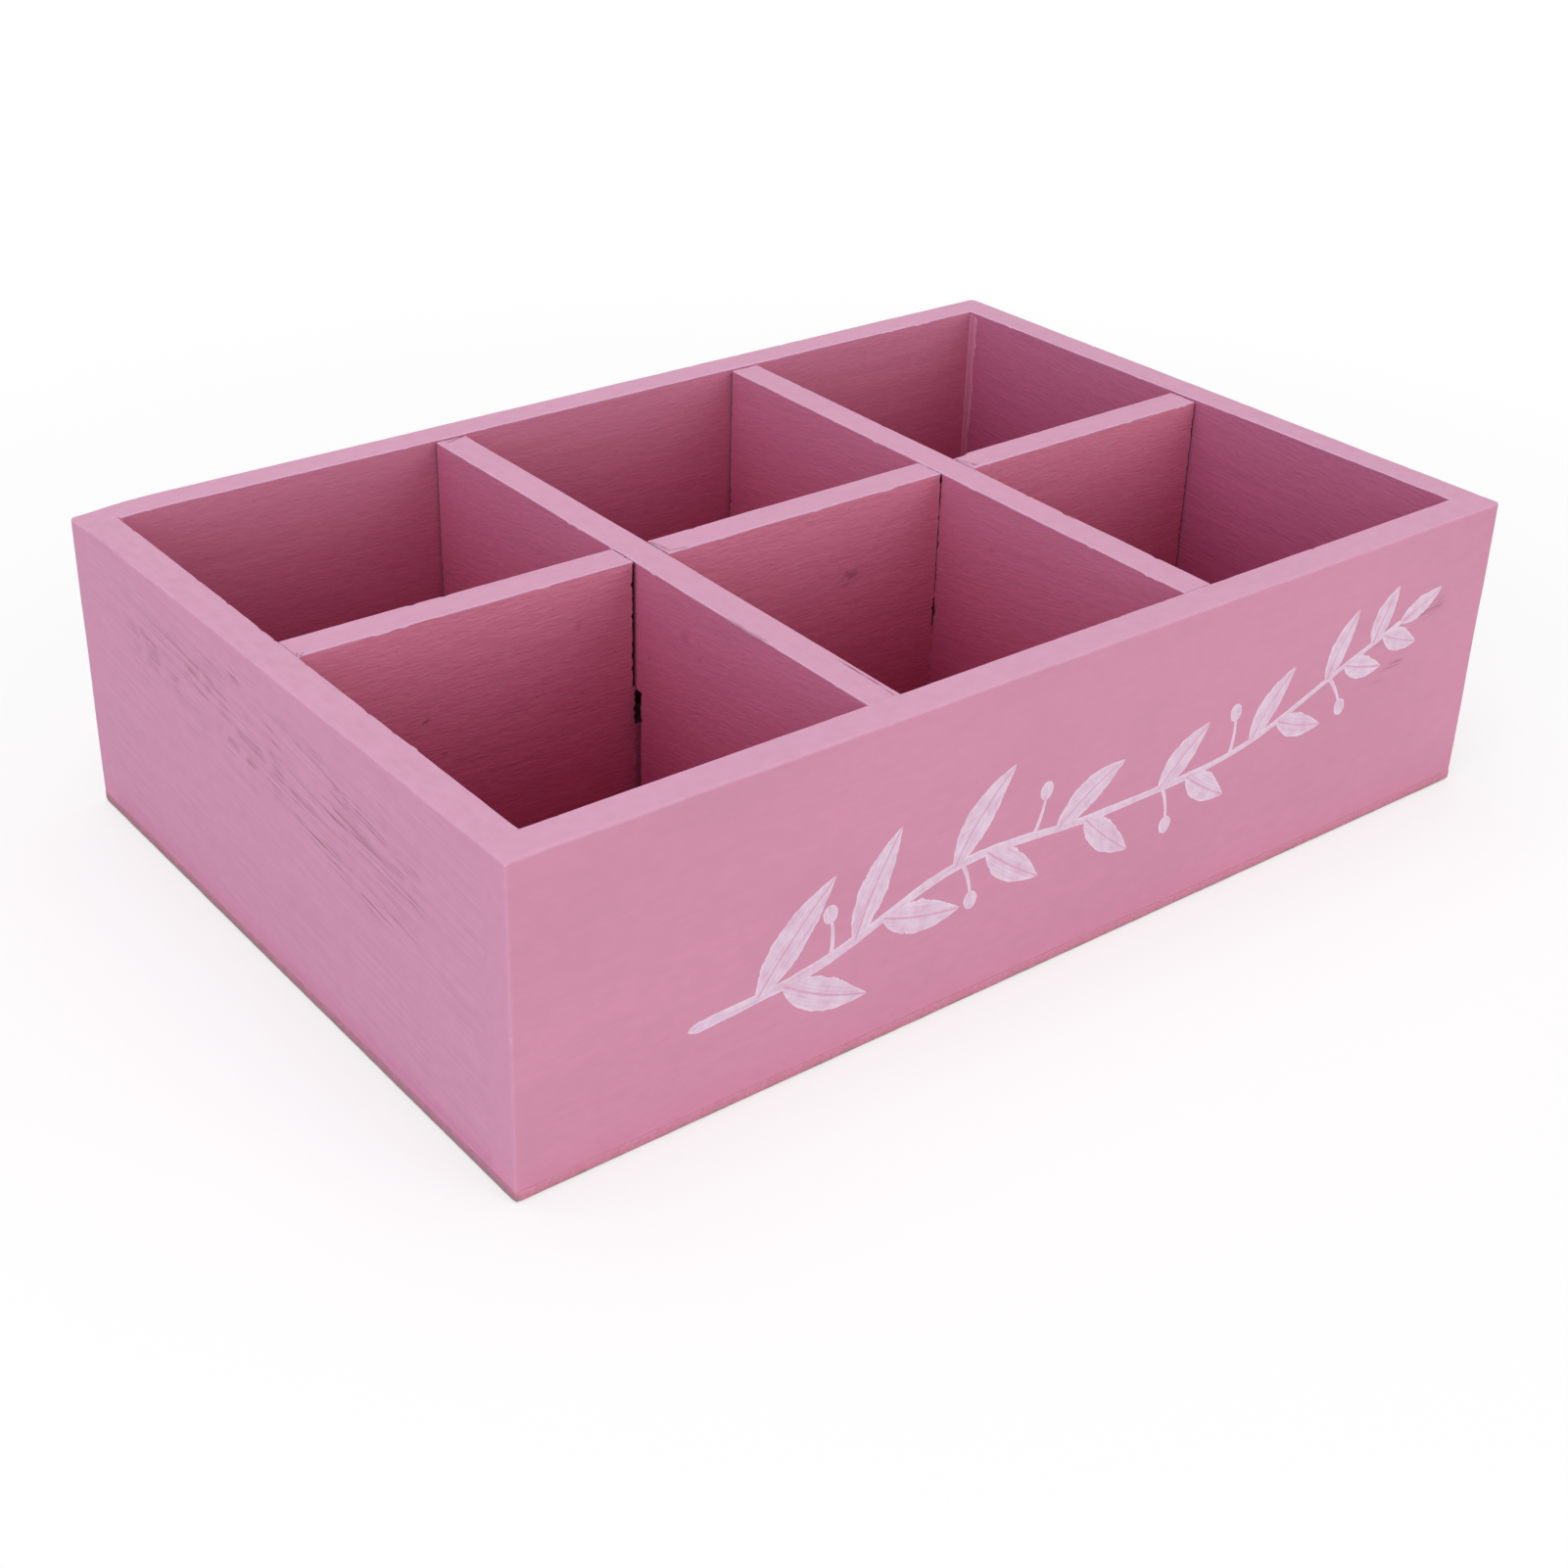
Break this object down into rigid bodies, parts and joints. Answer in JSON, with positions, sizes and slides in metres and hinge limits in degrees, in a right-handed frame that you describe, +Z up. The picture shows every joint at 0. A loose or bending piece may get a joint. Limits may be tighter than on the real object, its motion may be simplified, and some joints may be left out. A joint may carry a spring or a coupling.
{
  "type": "coffee station organizer",
  "caption": "Open-top box of painted wooden boards, divided by a half-lapped grid into compartments for coffee pods, sachets and stirrers.",
  "frame": {"origin": "middle of the rectangle that the box stands on, at table height", "axes": "+X along the front to the right, +Y from the front to the back, +Z up"},
  "size_m": [0.3, 0.2, 0.081],
  "materials": {
    "painted_long_board": "matt pink paint on solid softwood",
    "painted_end_board": "matt pink paint on solid softwood",
    "painted_divider": "matt pink paint on solid softwood",
    "plywood": "thin plywood, painted inside and raw underneath",
    "brad_steel": "plain steel wire",
    "painted_putty": "wood putty under the paint"
  },
  "bodies": {
    "root": {"front_board": "painted_long_board", "back_board": "painted_long_board", "left_end_board": "painted_end_board", "right_end_board": "painted_end_board", "long_divider": "painted_divider", "left_cross_divider": "painted_divider", "right_cross_divider": "painted_divider", "bottom_panel": "plywood", "corner_brads": "brad_steel", "divider_brads": "brad_steel", "bottom_brads": "brad_steel", "putty_plugs": "painted_putty"}
  },
  "joints": []
}
